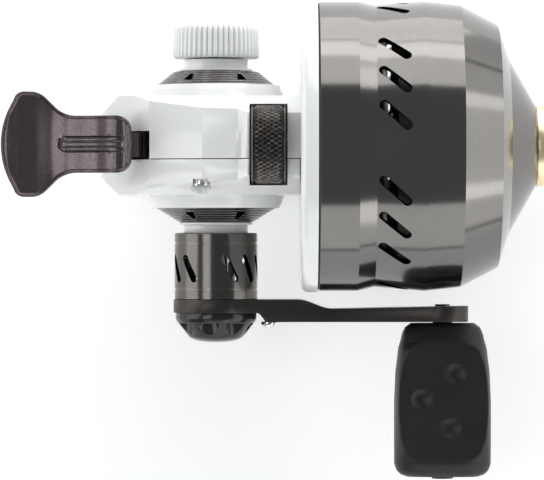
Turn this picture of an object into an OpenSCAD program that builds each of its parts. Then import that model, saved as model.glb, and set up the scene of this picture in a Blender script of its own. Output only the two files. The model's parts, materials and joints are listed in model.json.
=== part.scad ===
// Spincast fishing reel. X runs forward to the line exit, the crank is on the -Y side, Z is up.
// The origin is on the foot's underside, straight below the crank axis.

/* [Layout] */
// Height of the spool axis above the foot's underside
axis_h = 46; // [45:0.5:56]
// How far the crank axis lies below the spool axis
crank_drop = 7; // [6.6:0.1:7.4]
// How far the drag dial's axis lies above the spool axis
dial_rise = 20; // [20:0.1:20.4]

/* [Body shell] */
// Half of the body's width
body_half_w = 12.2; // [11.8:0.1:15]
// Rearmost point of the body
body_rear = -28.4; // [-34:0.2:-28]
// Rear face of the round flange
flange_back = 21.1; // [20.9:0.1:21.3]
// Top of the dial hump above the spool axis
hump_rise = 24.3; // [23.5:0.1:26]
// Top of the body above the spool axis
roof_rise = 21.5; // [20.5:0.1:22]
// Bottom of the body below the spool axis
floor_drop = 24; // [23.5:0.1:26]
// Wall thickness of the cast shells
wall = 1.7; // [1.2:0.1:2]
// Gap left at the seam between housing and side cover
seam_gap = 0.22; // [0.1:0.02:0.3]
// Where the seam lies, on the crank side of the spool axis
seam_y = -3.4; // [-3.8:0.1:-3.3]
// Half width of the flat band along the roof
roof_half = 7.3; // [6.5:0.1:8]

/* [Flange and front cover] */
// Radius of the round flange
flange_r = 36.5; // [33:0.5:44]
// Thickness of the round flange
flange_t = 4.3; // [3.5:0.1:5]
// Largest outside radius of the front cover
cover_r = 36.2; // [32.5:0.1:43.5]
// Where the cover's cone begins
cover_shoulder = 60.9; // [60:0.1:75]
// Where the cover's cone meets the nose
cover_brow = 70.3; // [68:0.1:85]
// Front end of the cover
cover_front = 80; // [77:0.1:95]
// Wall thickness of the cover
cover_wall = 1.5; // [1:0.1:2]
// Radius of the line exit
exit_r = 5; // [3.5:0.1:7]
// Outside radius of the nose ring
nose_r = 10; // [9:0.1:12]
// Width of one vent slot
slot_w = 2.4; // [1.8:0.1:2.8]
// Distance between the two end centres of a vent slot
slot_run = 7.7; // [6:0.1:8.5]
// Middle of the vent slots along the cover
slot_x = 44; // [43:0.1:45]
// Slant of the vent slots from the cover's axis
slot_slant = 42.6; // [30:0.1:50]

/* [Crank] */
// Radius of the crank shaft
crank_shaft_r = 3; // [2.8:0.05:3.1]
// Radius of the round boss on each side of the body
boss_r = 17.3; // [16.5:0.1:19]
// How far each boss stands out
boss_t = 3.2; // [2.5:0.1:4]
// Thickness of the grooved trim rings
trim_t = 3.6; // [3:0.1:4.5]
// Length of the bearing collar that shows outside the trim
neck_len = 2.9; // [2:0.1:4]
// Radius of the bearing collar
neck_r = 8.1; // [7.6:0.05:8.6]
// Length of the slotted drum
drum_len = 16.75; // [13.5:0.05:20]
// Outside radius of the slotted drum
drum_r = 10.45; // [10:0.05:11.5]
// Wall thickness of the slotted drum
drum_wall = 1.2; // [1:0.1:1.8]
// Distance from the crank axis to the knob's pin
crank_reach = 57; // [48:0.5:70]
// Thickness of the crank arm
arm_t = 3.3; // [2.8:0.1:4]
// How far the arm is joggled outwards
arm_joggle = 2.3; // [1:0.1:3]
// Length of the side cap
side_cap_len = 8.3; // [6:0.1:11]
// Radius of the side cap
side_cap_r = 10.6; // [9.5:0.05:12]

/* [Knob] */
// Length of the knob
knob_len = 38.6; // [32:0.2:46]
// Half width of the knob at its widest
knob_half = 12.2; // [10.5:0.1:14]
// Half thickness of the knob
knob_half_t = 7.4; // [6:0.1:9]
// Radius of the knob's pin
pin_r = 2.5; // [2:0.05:3]

/* [Thumb lever] */
// Sideways half width of the thumb pad
pad_half = 12.9; // [11.5:0.1:15]
// Half width of the lever's shank
shank_half = 7; // [6.2:0.1:7.5]
// Rear end of the thumb pad
pad_rear = -52.1; // [-60:0.1:-50]
// Thickness of the lever
lever_t = 4.2; // [3.6:0.1:4.8]
// Radius of the lever's pivot pin
pivot_r = 1.5; // [1.2:0.05:1.8]

/* [Drag dial] */
// Radius of the drag dial
dial_r = 9.6; // [8.8:0.1:9.8]
// Width of the drag dial
dial_w = 8.5; // [7:0.1:8.6]

/* [Foot] */
// Length of the foot
foot_len = 62; // [52:1:72]
// Width of the foot
foot_w = 13; // [11:0.2:15]
// Thickness of the foot at its middle
foot_t = 3.2; // [2.6:0.1:4]
// Length of the stem along the reel
stem_len = 26; // [24:0.5:32]

/* [Spool] */
// Radius of the main shaft
shaft_r = 2; // [1.8:0.05:2.1]
// Radius of the spool's flanges
spool_r = 28.5; // [24:0.5:29.5]
// Radius of the spool's arbor
arbor_r = 15; // [12:0.5:18]
// Outside radius of the spinner head
spinner_r = 29.5; // [25:0.5:30.5]
// Rear edge of the spinner head's skirt
spinner_edge = 44.4; // [44:0.1:46]

/* [Fits] */
// Radial clearance of a shaft that turns or slides in its hole
run_fit = 0.04; // [0.02:0.01:0.08]
// Gap between pieces that move past each other
gap = 0.35; // [0.25:0.05:0.5]

/* [Hidden] */
$fn = 96;

eps = 0.02;
far = 200;
crank_h = axis_h - crank_drop;
dial_h = axis_h + dial_rise;
roof_h = axis_h + roof_rise;
hump_h = axis_h + hump_rise;
floor_h = axis_h - floor_drop;

// body outline seen from the side
ramp_low_x = 5.7;
ramp_high_x = 8.1;
brow_x = -3;
brow_drop = 0.6;
slot_front = -16.1;
nape_drop = 4.4;
rear_top_drop = 13.5;
rear_low = 15;
chin_x = -15;
rear_chamfer = 4.5;
shoulder_drop = 7.5;
belly_chamfer = 4;
front_wall_x = 16.4;

// crank line, measured outwards from the middle plane
boss_out = body_half_w + boss_t;
trim_out = boss_out + trim_t;
neck_out = trim_out + neck_len;
boss_draft = 1.3;
trim_r = boss_r - 2.3;
far_trim_tip_r = neck_r + 2.5;
crank_trim_tip_r = neck_r + 1.1;
trim_grooves = 5;
groove_w = 0.3;
groove_depth = 0.22;
trim_windows = 6;
window_w = 2.6;
lip_r = neck_r + 1.1;
lip_t = 0.6;
bearing_r = 5;
bearing_w = 3.4;
clutch_w = 7;
collar_in = body_half_w - wall;
side_cap_ribs = 48;
drum_skirt = 0.3;
drum_in = neck_out - drum_skirt;
drum_out = drum_in + drum_len;
drum_plate = 1.95;
drum_slot_w = 1.9;
drum_slot_run = 5.8;
drum_slot_mid = 8.95;
drum_line = 2.6;
drum_line_w = 0.2;
drum_line_depth = 0.35;
drum_slant = 28;
drum_first = 9;
arm_out = drum_out + arm_t;
nut_tip = 7.4;
nut_r = 10.2;
nut_scallops = 8;
scallop_r = 2.85;
scallop_h = 2.6;
scallop_first = 11;
end_r = 6.5;
hub_r = 10.7;
arm_waist_x = 20;
arm_waist = 6.6;
arm_swell = 0.7;
joggle_out = 10.4;
joggle_in = 20.6;
joggle_run = 2.6;
joggle_run_in = 8.6;
pin_head_r = 1.9;
pin_head_t = 0.7;
lock_x = 13.2;
lock_r = 1.9;
lock_collar = 0.5;
lock_t = 1.7;

// knob
knob_in = drum_out + arm_joggle + arm_t + gap;
knob_out = knob_in + knob_len;
knob_neck_half = 9;
end_cap_r = 2.7;
end_cap_t = 0.5;

// drive gear: straight face teeth tangent to a circle of the shaft offset
gear_teeth = 33;
pinion_teeth = 11;
mesh_x = 10.8;
mesh_w = 3;
pinion_tip_r = 4.25;
pinion_root_r = 2.95;
gear_tip = 3.1;
gear_root = 4.6;
gear_back = 7.8;
gear_r = 14.6;
gear_tooth_tip = 0.42;
gear_tooth_root = 0.6;
pinion_tooth_tip = 0.42;
pinion_tooth_root = 0.8;
gear_margin = 2.4;
bush_r = 4.2;
sleeve_r = 2.8;

// main shaft line
flange_front = flange_back + flange_t;
flange_round = 2.2;
seal_t = 0.4;
nose_ring_t = 2.8;
nose_round = 1.5;
nose_throat = 1.8;
vent_group = 60;
vent_step = 15;
vent_first = 41;
ring_x = flange_front + 0.8;
ring_w = 1.8;
ring_teeth = 28;
dial_teeth = 12;
gear_sum = ring_teeth + dial_teeth;
ring_pitch_r = dial_rise * ring_teeth / gear_sum;
dial_pitch_r = dial_rise * dial_teeth / gear_sum;
tooth_out = 0.75;
tooth_in = 1.2;
hub_tube_r = 7;
hub_plate_r = 11.4;
hub_plate_t = 0.6;
washer_x = ring_x + ring_w + 0.3;
washer_t = 0.45;
washer_count = 3;
washer_r = 12.4;
spool_back = washer_x + washer_count * washer_t + 0.3;
spool_front = spinner_edge - 2.1;
spool_lip = 1.3;
hub_front = spool_front + 1.6;
clip_t = 0.6;
bush_len = 4;
spinner_plate = 57;
spinner_skin = 1.5;
spinner_hub_r = 6;
spinner_hub_back = 51;
spinner_holes = 6;
spinner_hole_r = 3.2;
nut_len = 2.8;
spinner_nut_r = 4.2;
shaft_front = spinner_plate + spinner_skin + nut_len + 0.5;
coil_turns = 11;
coil_steps = 14;
coil_wire = 0.3;
coil_mean_r = shaft_r + coil_wire + 0.22;
thrust_r = 4.5;
thrust_back = -22.6;
thrust_front = -17.2;
shaft_back = -20.4;
pickup_x = 51;
pickup_r = 1.25;
pickup_in = 24;
pickup_proud = 2.4;
pickup_boss_r = 2.7;
line_r = 25;

// thumb lever
pivot_x = -15;
pivot_h = axis_h + 10;
nose_x = -24.25;
lever_nose_r = 1.5;
lever_hub_r = 3.6;
lever_half = 2.9;
spring_turns = 4;
spring_steps = 16;
spring_pitch = 0.8;
spring_wire = 0.35;
spring_mean_r = 3.6 + spring_wire;
shank_front = -20.2;
shank_top = roof_h + 2.6;
pad_flare = 7.5;
flare_run = 18.4;
corner_r = 5;
corner_run = 7.3;
// spine of the lever, as a share of its length from the front and the drop below its crest
lever_crown = [[-0.03, 2.6], [0, 2], [0.038, 0.85], [0.075, 0.2], [0.107, 0], [0.144, 0.15], [0.31, 1.55],
    [0.498, 2.9], [0.624, 3.5], [0.734, 3.7], [0.843, 3.35], [0.937, 2.4], [1, 1.3], [1.03, 0.7]];
nose_corner = 3.6;
rib_back = -36.7;
rib_front = -22.8;
rib_half = 1.9;
rib_depth = 0.9;
rib_low = 0.25;
rib_w = 1.4;
rib_drop = 3;
rib_tilt = 13.5;
guide_back = -20.9;
guide_front = -17;

// drag dial
dial_x = 9;
dial_room = 0.4;
window_half = 9.9;
window_round = 1.1;
spindle_r = 2;
spindle_back = 6.6;
dial_notches = 40;

// foot
foot_tip_t = 1.1;
foot_flat = 26;
stem_w = 9;
foot_screw_x = 7.2;
foot_screw_r = 1.5;
foot_screw_head_r = 2.9;
foot_screw_up = 4;

side_screw_r = 1.2;
side_screw_head_r = 2.2;
side_screw_head_t = 1.6;
side_screws = [[-3.2, roof_h - 4.5], [-22.5, floor_h + 12], [14.2, floor_h + 5.2]];
side_screw_post_r = 2.5;
// where each screw post ends inside the far wall; the first one stops under the sloping shoulder
post_out = [roof_half + 1, body_half_w - wall + 0.5, body_half_w - wall + 0.5];
screw_pocket_up = 2.4;
screw_seat = body_half_w - 3.8;

function arc(cx, cy, r, a0, a1, n = 8) =
    [for (i = [0 : n]) [cx + r * cos(a0 + (a1 - a0) * i / n), cy + r * sin(a0 + (a1 - a0) * i / n)]];

module along_x(x = 0, h = axis_h) {
    translate([x, 0, h]) rotate([0, 90, 0]) children();
}

// local Z points away from the middle plane on the crank side
module crank_side(y = 0, x = 0, h = crank_h) {
    translate([x, -y, h]) rotate([90, 0, 0]) children();
}

module far_side(y = 0, x = 0, h = crank_h) {
    translate([x, y, h]) rotate([-90, 0, 0]) children();
}

// extrudes an outline drawn in X and Z across the full width
module across(half) {
    translate([0, half, 0]) rotate([90, 0, 0]) linear_extrude(2 * half) children();
}

module tube(r_out, r_in, len) {
    difference() {
        cylinder(r = r_out, h = len);
        translate([0, 0, -1]) cylinder(r = r_in, h = len + 2);
    }
}

// ---- coil springs -------------------------------------------------------
function ring_points(path, i, r, sides, side_axis) =
    let (
        last = len(path) - 1,
        dir = path[min(i + 1, last)] - path[max(i - 1, 0)],
        t = dir / norm(dir),
        raw = cross(t, side_axis),
        u = raw / norm(raw),
        v = cross(t, u)
    )
    [for (k = [0 : sides - 1]) path[i] + r * (u * cos(360 * k / sides) + v * sin(360 * k / sides))];

module sweep(path, r, side_axis, sides = 8) {
    rings = len(path);
    points = [for (i = [0 : rings - 1]) each ring_points(path, i, r, sides, side_axis)];
    skin = [for (i = [0 : rings - 2]) for (k = [0 : sides - 1])
        [i * sides + k, (i + 1) * sides + k, (i + 1) * sides + (k + 1) % sides, i * sides + (k + 1) % sides]];
    first = [for (k = [0 : sides - 1]) k];
    final = [for (k = [sides - 1 : -1 : 0]) (rings - 1) * sides + k];
    polyhedron(points, concat([first], skin, [final]));
}

// ---- body ---------------------------------------------------------------
function side_outline(inset) = concat(
    [[flange_back + 1, floor_h + inset]],
    [[flange_back + 1, hump_h - inset]],
    [[ramp_high_x + inset / 2, hump_h - inset]],
    [[ramp_low_x + inset / 2, roof_h - inset]],
    [[brow_x, roof_h - brow_drop - inset]],
    [[slot_front, roof_h - nape_drop - inset]],
    arc(body_rear + inset + 5, roof_h - rear_top_drop - inset - 4.2, 5, 130, 180, 8),
    arc(chin_x, floor_h + inset + rear_low, -body_rear + chin_x - inset, 180, 250, 14),
    [[chin_x + 6, floor_h + inset]]);

module side_prism(inset) {
    across(body_half_w - inset) polygon(side_outline(inset));
}

// cross-section with sloped shoulders, open towards the flange
module section_prism(inset) {
    w = body_half_w - inset;
    top = hump_h + 1;
    low = floor_h + inset;
    band = roof_half - inset / 2;
    knee = roof_h - shoulder_drop - inset / 2;
    translate([body_rear - 1, 0, 0]) rotate([90, 0, 90]) linear_extrude(flange_back + 2 - body_rear)
        polygon([[w - belly_chamfer, low], [w, low + belly_chamfer], [w, knee], [band + 1.4, roof_h - inset],
            [band, top], [-band, top], [-band - 1.4, roof_h - inset], [-w, knee], [-w, low + belly_chamfer],
            [-w + belly_chamfer, low]]);
}

module plan_prism(inset) {
    w = body_half_w + 1;
    back = body_rear + inset;
    side = body_half_w - rear_chamfer - inset / 2;
    translate([0, 0, floor_h - 1]) linear_extrude(hump_h - floor_h + 2)
        polygon([[flange_back + 1, w], [back + w - side, w], [back, side], [back, -side],
            [back + w - side, -w], [flange_back + 1, -w]]);
}

module body_block(inset) {
    intersection() {
        side_prism(inset);
        section_prism(inset);
        plan_prism(inset);
    }
}

// the cast body with a round boss on each side
module body_solid() {
    body_block(0);
    far_side(body_half_w - eps) cylinder(r1 = boss_r, r2 = boss_r - boss_draft, h = boss_t + eps);
    crank_side(body_half_w - eps) cylinder(r1 = boss_r, r2 = boss_r - boss_draft, h = boss_t + eps);
}

module cavity() {
    intersection() {
        body_block(wall);
        translate([-far, -far, -far]) cube([far + front_wall_x, 2 * far, 2 * far]);
    }
}

module dial_space() {
    along_x(dial_x - dial_room, dial_h) cylinder(r = dial_r + 0.5, h = dial_w + 2 * dial_room);
    x0 = dial_x - dial_room;
    x1 = x0 + dial_w + 2 * dial_room;
    y = window_half - window_round;
    translate([0, 0, dial_h]) linear_extrude(far) polygon(concat(
        arc(x0 + window_round, y, window_round, 90, 180, 5),
        arc(x0 + window_round, -y, window_round, 180, 270, 5),
        [[x1, -window_half], [x1, window_half]]));
}

module lever_slot() {
    translate([body_rear + 1.6, -lever_half - gap - 0.2, axis_h + 4])
        cube([slot_front + 0.1 - body_rear - 1.6, 2 * (lever_half + gap + 0.2), far]);
}

module collar_bores() {
    far_side(0) cylinder(r = neck_r, h = far);
    crank_side(0) cylinder(r = neck_r, h = far);
}

module flange() {
    along_x(flange_back) rotate_extrude() polygon(concat(
        [[0, 0]],
        arc(flange_r - flange_round, flange_round, flange_round, -90, 0, 6),
        [[flange_r, flange_t], [0, flange_t]]));
}

module body_housing() {
    color("white") difference() {
        union() {
            difference() {
                body_solid();
                cavity();
                translate([-far, -far + seam_y, -far]) cube([far + flange_back + 0.4, far, 2 * far]);
            }
            flange();
            housing_inside();
        }
        dial_space();
        lever_slot();
        collar_bores();
        along_x(front_wall_x - 1) cylinder(r = bearing_r, h = flange_back - front_wall_x - 0.4 + 1);
        along_x(0) translate([0, 0, front_wall_x - 2]) cylinder(r = sleeve_r + 0.3, h = 20);
        along_x(guide_back - 1) cylinder(r = thrust_r + run_fit, h = guide_front - guide_back + 2);
        along_x(spindle_back - 1, dial_h) cylinder(r = spindle_r + run_fit, h = 30);
        for (p = side_screws) crank_side(-4, p[0], p[1]) cylinder(r = side_screw_r, h = 12);
        for (x = [-foot_screw_x, foot_screw_x])
            translate([x, 0, floor_h - 1]) cylinder(r = foot_screw_r, h = foot_screw_up + 2);
        far_side(0, pivot_x, pivot_h) cylinder(r = pivot_r, h = body_half_w - wall + 1);
        hub_screw_places() cylinder(r = 1, h = 6, center = true);
    }
}

// webs and posts cast inside the housing
module housing_inside() {
    post_in = seam_y + seam_gap;
    for (i = [0 : 2])
        far_side(post_in, side_screws[i][0], side_screws[i][1])
            cylinder(r = side_screw_post_r, h = post_out[i] - post_in);
    for (x = [-foot_screw_x, foot_screw_x])
        translate([x, 0, floor_h + 0.5]) cylinder(r = 2.6, h = foot_screw_up + 0.6);
    translate([guide_back, -6, axis_h - 6]) cube([guide_front - guide_back, body_half_w - wall + 6.5, 11.3]);
    translate([spindle_back - 1.4, post_in, dial_h - 4])
        cube([ramp_high_x + 0.9 - spindle_back + 1.4, 2 * -post_in, 6.5]);
    far_side(lever_half + gap, pivot_x, pivot_h)
        cylinder(r = 3, h = body_half_w - wall - lever_half - gap + 0.5);
}

module side_cover() {
    color("white") difference() {
        union() {
            difference() {
                body_solid();
                cavity();
                translate([-far, seam_y - seam_gap, -far]) cube([2 * far, far, 2 * far]);
                translate([flange_back - seam_gap, -far, -far]) cube([far, 2 * far, 2 * far]);
            }
            crank_side(lever_half + gap, pivot_x, pivot_h)
                cylinder(r = 3, h = body_half_w - wall - lever_half - gap + 0.5);
            for (p = side_screws)
                crank_side(-seam_y + seam_gap, p[0], p[1])
                    cylinder(r = side_screw_post_r + 0.3, h = screw_seat + seam_y);
        }
        dial_space();
        lever_slot();
        collar_bores();
        along_x(front_wall_x - 1) cylinder(r = bearing_r, h = flange_back - front_wall_x - 0.4 + 1);
        for (p = side_screws) {
            crank_side(0, p[0], p[1]) cylinder(r = side_screw_r + 0.15, h = body_half_w);
            crank_side(screw_seat, p[0], p[1]) cylinder(r = side_screw_head_r + 0.45, h = body_half_w);
        }
        crank_side(screw_seat, side_screws[0][0], side_screws[0][1] + screw_pocket_up)
            cylinder(r = side_screw_head_r, h = body_half_w);
        crank_side(0, pivot_x, pivot_h) cylinder(r = pivot_r, h = body_half_w - wall + 1);
    }
}

module side_cover_screws() {
    color("silver") for (p = side_screws) crank_side(0, p[0], p[1]) difference() {
        union() {
            translate([0, 0, -2]) cylinder(r = side_screw_r, h = screw_seat + 2 + eps);
            translate([0, 0, screw_seat]) cylinder(r = side_screw_head_r, h = side_screw_head_t);
        }
        translate([0, 0, screw_seat + 0.6]) cylinder(r = 1.1, h = 4, $fn = 6);
    }
}

// ---- front cover --------------------------------------------------------
function cover_outline(off) =
    let (r = cover_r - off, s = off * 0.4)
    [[flange_front + seal_t, r], [35.4, r], [39.6, r - 1], [52.1, r], [cover_shoulder - s, r - 0.9],
        [cover_brow - s, r - 5.8], [cover_brow + 2.6 - s, r - 13.9]];

module cover_shell() {
    outer = cover_outline(0);
    inner = cover_outline(cover_wall);
    tip_in = cover_front - cover_wall * 0.8;
    along_x(0) rotate_extrude($fn = 180) polygon(concat(
        [for (p = outer) [p[1], p[0]]],
        [[nose_r, cover_front], [exit_r + 1.2, cover_front], [exit_r + 1.2, tip_in], [nose_r - 1, tip_in]],
        [for (i = [len(inner) - 1 : -1 : 0]) [inner[i][1], inner[i][0]]]));
}

module slot_shape(run, width) {
    square([run, width], center = true);
    for (s = [-1, 1]) translate([s * run / 2, 0]) circle(d = width, $fn = 32);
}

module front_cover() {
    color("dimgray") difference() {
        cover_shell();
        for (group = [0 : 360 / vent_group - 1]) for (k = [0 : 2])
            translate([slot_x, 0, axis_h]) rotate([vent_group * group + vent_step * k - vent_first, 0, 0])
                translate([0, 0, cover_r - 6]) rotate([0, 0, -slot_slant])
                    linear_extrude(9) slot_shape(slot_run, slot_w);
    }
}

module cover_seal_ring() {
    seat = cover_r - cover_wall;
    color("black") along_x(flange_front) rotate_extrude($fn = 180)
        polygon([[seat - 1.6, 0], [cover_r - 0.4, 0], [cover_r - 0.4, seal_t], [seat - 0.05, seal_t],
            [seat - 0.05, 1.8], [seat - 1.6, 1.8]]);
}

module nose_ring() {
    seat = exit_r + 1.2;
    color("gold") along_x(cover_front) rotate_extrude() polygon(concat(
        [[exit_r, -1.6], [seat, -1.6], [seat, 0], [nose_r, 0]],
        arc(nose_r - nose_round, nose_ring_t - nose_round, nose_round, 0, 90, 8),
        [[exit_r + 2.2, nose_ring_t]],
        arc(exit_r + nose_throat, nose_ring_t - nose_throat, nose_throat, 90, 180, 8)));
}

// ---- crank line ---------------------------------------------------------
module trim_ring(tip_r) {
    slope = (trim_r - tip_r) / trim_t;
    step = trim_t / (trim_grooves + 1);
    difference() {
        rotate_extrude() polygon(concat(
            [[neck_r, 0.05], [trim_r, 0.05]],
            [for (i = [1 : trim_grooves]) for (q = [[-groove_w, 0], [0, groove_depth], [groove_w, 0]])
                [trim_r - slope * (i * step + q[0] / 2) - q[1], i * step + q[0] / 2]],
            [[tip_r + slope * 0.3, trim_t - 0.3], [tip_r - 0.5, trim_t], [neck_r, trim_t]]));
        for (k = [0 : trim_windows - 1])
            rotate(360 / trim_windows * k) translate([tip_r - 0.6, 0, 0]) rotate([90, 0, 90])
                linear_extrude(far) polygon([[-window_w / 2, trim_t * 0.3], [window_w / 2, trim_t * 0.3],
                    [window_w / 5, trim_t * 0.75], [-window_w / 5, trim_t * 0.75]]);
    }
}

module collar() {
    difference() {
        union() {
            translate([0, 0, collar_in]) cylinder(r = neck_r, h = neck_out - collar_in);
            translate([0, 0, trim_out]) cylinder(r = lip_r, h = lip_t);
        }
        translate([0, 0, collar_in - 1]) cylinder(r = bearing_r, h = neck_out - collar_in + 2);
    }
}

module ball_bearing(r_in, r_out, w) {
    difference() {
        tube(r_out, r_in, w);
        translate([0, 0, w - 0.3]) tube(r_out - 0.6, r_in + 0.6, 1);
    }
}

module far_trim_ring() { color("dimgray") far_side(boss_out) trim_ring(far_trim_tip_r); }
module crank_trim_ring() { color("dimgray") crank_side(boss_out) trim_ring(crank_trim_tip_r); }
module far_collar() { color("white") far_side(0) collar(); }
module crank_collar() { color("white") crank_side(0) collar(); }

module far_bearing() {
    color("silver") far_side(neck_out - bearing_w - 0.2)
        ball_bearing(crank_shaft_r + run_fit, bearing_r, bearing_w);
}

module crank_bearing() {
    color("silver") crank_side(neck_out - bearing_w - 0.2)
        ball_bearing(crank_shaft_r + run_fit, bearing_r, bearing_w);
}

module anti_reverse_clutch() {
    color("slategray") crank_side(collar_in) tube(bearing_r, crank_shaft_r + run_fit, clutch_w);
}

module crank_shaft() {
    color("silver") crank_side(-neck_out - side_cap_len + 2)
        cylinder(r = crank_shaft_r, h = neck_out + side_cap_len - 2 + arm_out);
}

module gear_tooth() {
    half_root = gear_tooth_root / 2;
    half_tip = gear_tooth_tip / 2;
    translate([mesh_x - mesh_w / 2 - 0.3, 0, crank_drop]) rotate([90, 0, 90]) linear_extrude(mesh_w + 0.6)
        polygon([[-gear_root - 0.2, half_root], [-gear_tip, half_tip], [-gear_tip, -half_tip],
            [-gear_root - 0.2, -half_root]]);
}

module drive_gear() {
    color("darkgray") translate([0, 0, crank_h]) union() {
        for (k = [0 : gear_teeth - 1]) rotate([0, 360 / gear_teeth * k, 0]) gear_tooth();
        rotate([90, 0, 0]) translate([0, 0, gear_root]) difference() {
            union() {
                cylinder(r = gear_r, h = 1.4);
                cylinder(r = 5.5, h = gear_back - gear_root);
            }
            translate([0, 0, -1]) cylinder(r = crank_shaft_r, h = 10);
        }
    }
}

module slotted_drum() {
    seat = drum_skirt + gap;
    rim = drum_r - drum_line_depth;
    color("dimgray") crank_side(drum_in) difference() {
        rotate_extrude() polygon(concat(
            [[crank_shaft_r, seat], [neck_r + gap, seat], [neck_r + gap, 0]],
            [[drum_r - 0.2, 0], [drum_r, 0.2]],
            [for (z = [drum_line, drum_len - drum_line])
                for (q = [[drum_r, -drum_line_w], [rim, 0], [drum_r, drum_line_w]]) [q[0], z + q[1]]],
            [[drum_r, drum_len], [drum_r - drum_wall, drum_len],
                [drum_r - drum_wall, drum_plate], [crank_shaft_r, drum_plate]]));
        for (group = [0 : 2]) for (k = [0 : 2])
            rotate(120 * group + 30 * k + drum_first) translate([drum_r - 3, 0, drum_slot_mid])
                rotate([0, 90, 0]) rotate(drum_slant) linear_extrude(6)
                    slot_shape(drum_slot_run, drum_slot_w);
    }
}

// one edge of the arm's joggle, as a smooth bend starting at x
function joggle(x, run, y) =
    [for (i = [0 : 8]) [x + run * i / 8, y - arm_joggle * (1 - cos(180 * i / 8)) / 2]];

module arm_band() {
    y0 = -drum_out;
    y1 = -arm_out;
    bend_out = joggle(joggle_out, joggle_run, y1);
    translate([0, 0, crank_h - far / 2]) linear_extrude(far) polygon(concat(
        [[-hub_r - 1, y0]],
        joggle(joggle_in, joggle_run_in, y0),
        [[crank_reach + end_r + 1, y0 - arm_joggle + arm_swell], [crank_reach + end_r + 1, y1 - arm_joggle]],
        [for (i = [8 : -1 : 0]) bend_out[i]],
        [[-hub_r - 1, y1]]));
}

module arm_face() {
    crank_side(drum_out - 1) linear_extrude(arm_t + arm_joggle + 2) polygon(concat(
        arc(0, 0, hub_r, 62, 298, 48),
        [[arm_waist_x, -arm_waist]],
        arc(crank_reach, 0, end_r, -118, 118, 32),
        [[arm_waist_x, arm_waist]]));
}

module crank_arm() {
    color("#4a4541") difference() {
        intersection() {
            arm_band();
            arm_face();
        }
        crank_side(drum_out - 1) cylinder(r = crank_shaft_r, h = arm_t + 2);
        crank_side(drum_out - 1, crank_reach) cylinder(r = pin_r, h = 12);
        crank_side(drum_out + 1, lock_x) cylinder(r = 1, h = 12);
    }
}

module crank_nut_cap() {
    color("dimgray") crank_side(arm_out) difference() {
        rotate_extrude() polygon([[0, 0], [nut_r, 0], [nut_r, 1.5], [nut_r - 0.35, 2.3],
            [nut_r - 3.5, nut_tip - 1.2], [nut_r - 4.6, nut_tip - 0.6], [nut_r - 6.1, nut_tip - 0.2],
            [nut_r - 8, nut_tip], [0, nut_tip]]);
        for (k = [0 : nut_scallops - 1])
            rotate(360 / nut_scallops * k + scallop_first) translate([nut_r - 0.15, 0, scallop_h])
                cylinder(r = scallop_r, h = 10);
    }
}

module nut_lock_screw() {
    seat = arm_out + arm_joggle;
    dome = [for (a = [0 : 15 : 75]) [lock_r * cos(a), lock_collar + (lock_t - lock_collar) * sin(a)]];
    color("silver") crank_side(0, lock_x) difference() {
        union() {
            translate([0, 0, drum_out + 1.2]) cylinder(r = 1, h = seat - drum_out - 1.2);
            translate([0, 0, seat]) rotate_extrude()
                polygon(concat([[0, 0], [lock_r, 0]], dome, [[0, lock_t]]));
        }
        translate([-0.3, -far, seat + lock_t - 0.4]) cube([0.6, 2 * far, 2]);
    }
}

module ribbed_disc(r, depth, ribs, h) {
    linear_extrude(h) polygon([for (i = [0 : ribs - 1])
        for (q = [[0, 0], [0.3, 0], [0.5, depth], [0.8, depth]])
            let (a = 360 / ribs * (i + q[0])) [(r - q[1]) * cos(a), (r - q[1]) * sin(a)]]);
}

module side_cap() {
    color("white") far_side(neck_out + gap) difference() {
        intersection() {
            ribbed_disc(side_cap_r + 0.6, 0.8, side_cap_ribs, side_cap_len);
            rotate_extrude() polygon([[0, 0], [side_cap_r - 0.35, 0], [side_cap_r + 0.3, 0.65],
                [side_cap_r, side_cap_len - 1.3], [side_cap_r - 1.2, side_cap_len], [0, side_cap_len]]);
        }
        translate([0, 0, -1]) cylinder(r = crank_shaft_r, h = side_cap_len - 2 + 1 - gap);
    }
}

module knob_pin() {
    color("silver") crank_side(0, crank_reach) {
        translate([0, 0, drum_out + arm_joggle - pin_head_t - 0.4])
            cylinder(r = pin_head_r, h = pin_head_t + 1);
        translate([0, 0, drum_out + arm_joggle - 0.4]) cylinder(r = pin_r, h = knob_len + arm_t - 2.4);
    }
}

module crank_knob() {
    color("#1b1b1c") crank_side(knob_in, crank_reach) difference() {
        hull() {
            cylinder(r = knob_half_t - 1.6, h = 1, $fn = 32);
            for (s = [-1, 1]) {
                translate([s * (knob_neck_half - 3.5), 0, 0]) cylinder(r = 3.5, h = 1, $fn = 32);
                translate([s * (knob_half - 6), 0, 15]) sphere(r = 6, $fn = 32);
                translate([s * (knob_half - 5), 0, knob_len - 5]) sphere(r = 5, $fn = 32);
                translate([s * 3, 0, 24]) sphere(r = knob_half_t, $fn = 32);
            }
        }
        translate([0, 0, -1]) cylinder(r = pin_r + run_fit, h = knob_len - 1);
        translate([0, 0, knob_len - 1.4]) cylinder(r = end_cap_r, h = 3);
    }
}

module knob_end_cap() {
    color("#1b1b1c") crank_side(knob_out - 1.4, crank_reach) cylinder(r = end_cap_r, h = 1.4 + end_cap_t);
}

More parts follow.
